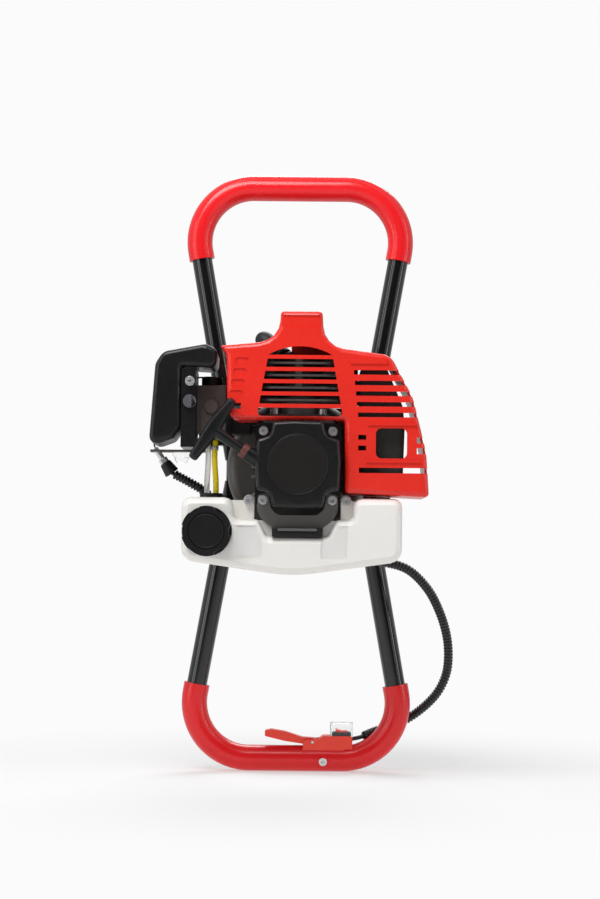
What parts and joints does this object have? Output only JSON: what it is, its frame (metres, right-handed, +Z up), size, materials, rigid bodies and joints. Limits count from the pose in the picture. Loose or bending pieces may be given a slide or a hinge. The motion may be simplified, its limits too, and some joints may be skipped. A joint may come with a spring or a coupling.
{
  "type": "earth auger power head",
  "caption": "Two-stroke power head of an earth auger: finned engine under a slotted shroud, fuel tank, recoil starter, reduction gearbox and tubular loop handles with a thumb throttle.",
  "frame": {"origin": "centre of the cross hole in the output shaft, on the drive axis", "axes": "+Y along the drive axis, the way the drill bit leaves; +Z up as it stands in the picture, along the line from the lower to the upper handle bar; +X to the right as seen from the starter side"},
  "size_m": [0.328, 0.281, 0.655],
  "materials": {
    "frame_black": "gloss black powder coat",
    "grip_red": "glossy red sleeve",
    "shroud_red": "glossy red moulding",
    "control_red": "satin orange-red moulding",
    "black_moulding": "fine-grained black moulding",
    "bare_disc": null,
    "tank_white": "milky blow-moulded polyethylene",
    "rubber_black": "matt black rubber",
    "conduit_black": "satin black ribbed plastic and cable jacket",
    "cast_alloy": "die-cast alloy",
    "bright_steel": "zinc-plated and ground steel",
    "muffler_black": "heat-proof matt black",
    "clear_plastic": "clear plastic",
    "fuel_yellow": "translucent yellow fuel hose",
    "foam_tan": "open-cell foam",
    "rope_cord": "braided nylon",
    "guide_brown": "dark brown rope bush",
    "pulley_white": "natural nylon",
    "choke_grey": "grey moulding"
  },
  "bodies": {
    "power_head": {"upper_tube": "frame_black", "lower_tube": "frame_black", "upper_grip": "grip_red", "lower_grip": "grip_red", "grip_screw": "bright_steel", "frame_plate": "frame_black", "tube_clamps": "frame_black", "frame_bolts": "bright_steel", "gearbox_case": "cast_alloy", "gearbox_cover": "cast_alloy", "bearings": "bright_steel", "oil_seal": "rubber_black", "fan_housing": "cast_alloy", "flywheel": "cast_alloy", "clutch_shoes": "bright_steel", "crankshaft": "bright_steel", "connecting_rod": "bright_steel", "piston": "cast_alloy", "crankcase": "cast_alloy", "cylinder_block": "cast_alloy", "spark_plug": "bright_steel", "plug_boot": "rubber_black", "ignition_coil": "black_moulding", "muffler": "muffler_black", "intake_insulator": "black_moulding", "shroud": "shroud_red", "carburettor": "cast_alloy", "primer_bulb": "clear_plastic", "filter_base": "black_moulding", "filter_element": "foam_tan", "fuel_tank": "tank_white", "tank_grommet": "rubber_black", "return_line": "clear_plastic", "supply_line": "fuel_yellow", "tank_bracket": "bright_steel", "bracket_pad": "rubber_black", "engine_screws": "bright_steel", "starter_cover": "black_moulding", "starter_disc": "bare_disc", "rope_guide": "guide_brown", "throttle_housing": "control_red", "trigger_pin": "bright_steel", "switch_bezel": "black_moulding", "switch_cap": "clear_plastic", "cable_conduit": "conduit_black", "throttle_cable": "conduit_black", "cable_boot": "rubber_black", "cable_adjuster": "bright_steel"},
    "output_shaft": {"output_shaft": "bright_steel"},
    "layshaft": {"layshaft": "bright_steel"},
    "clutch_drum": {"clutch_drum": "bright_steel"},
    "starter_pull": {"starter_handle": "black_moulding", "starter_rope": "rope_cord"},
    "starter_pulley": {"starter_pulley": "pulley_white"},
    "throttle_trigger": {"throttle_trigger": "control_red"},
    "carb_lever": {"carb_lever": "black_moulding"},
    "switch_rocker": {"switch_rocker": "control_red"},
    "fuel_cap": {"fuel_cap": "black_moulding"},
    "choke_lever": {"choke_lever": "choke_grey"},
    "filter_cover": {"filter_cover": "black_moulding"}
  },
  "joints": [
    {"name": "output_spin", "type": "hinge", "parent": "power_head", "child": "output_shaft", "pos_m": [0, 0, 0], "axis": [0, 1, 0], "continuous": true},
    {"name": "layshaft_spin", "type": "hinge", "parent": "power_head", "child": "layshaft", "pos_m": [0, -0.07, -0.0375], "axis": [0, 1, 0], "continuous": true},
    {"name": "clutch_spin", "type": "hinge", "parent": "power_head", "child": "clutch_drum", "pos_m": [0, -0.09, 0], "axis": [0, 1, 0], "continuous": true},
    {"name": "starter_pull", "type": "slide", "parent": "power_head", "child": "starter_pull", "axis": [-0.829, 0, 0.5592], "range_m": [0, 0.5], "stiffness_N_per_m": 12, "springref_m": -0.4},
    {"name": "pulley_spin", "type": "hinge", "parent": "power_head", "child": "starter_pulley", "pos_m": [0, -0.2465, 0], "axis": [0, 1, 0], "range_deg": [0, 1480]},
    {"name": "trigger_swing", "type": "hinge", "parent": "power_head", "child": "throttle_trigger", "pos_m": [0.0185, -0.08385, -0.2953], "axis": [0, -1, 0], "range_deg": [0, 8], "stiffness_Nm_per_rad": 0.3, "springref_deg": -22.92},
    {"name": "throttle_turn", "type": "hinge", "parent": "power_head", "child": "carb_lever", "pos_m": [-0.091, -0.186, 0.085], "axis": [0, 0, 1], "range_deg": [0, 33]},
    {"name": "switch_rock", "type": "hinge", "parent": "power_head", "child": "switch_rocker", "pos_m": [0.05, -0.08385, -0.2839], "axis": [0, -1, 0], "range_deg": [0, 10]},
    {"name": "cap_turn", "type": "hinge", "parent": "power_head", "child": "fuel_cap", "pos_m": [-0.092, -0.25, -0.0685], "axis": [0, -1, 0], "range_deg": [0, 540]},
    {"name": "choke_turn", "type": "hinge", "parent": "power_head", "child": "choke_lever", "pos_m": [-0.112, -0.23, 0.065], "axis": [0, 1, 0], "range_deg": [0, 60]},
    {"name": "filter_open", "type": "hinge", "parent": "power_head", "child": "filter_cover", "pos_m": [-0.124, -0.2, 0.033], "axis": [0, -1, 0], "range_deg": [0, 50]}
  ],
  "couplings": [
    {"joint": "layshaft_spin", "follows": "output_spin", "ratio": -4.7692},
    {"joint": "clutch_spin", "follows": "output_spin", "ratio": 25.038},
    {"joint": "pulley_spin", "follows": "starter_pull", "rad_per_m": 51.282},
    {"joint": "throttle_turn", "follows": "trigger_swing", "ratio": 4}
  ]
}
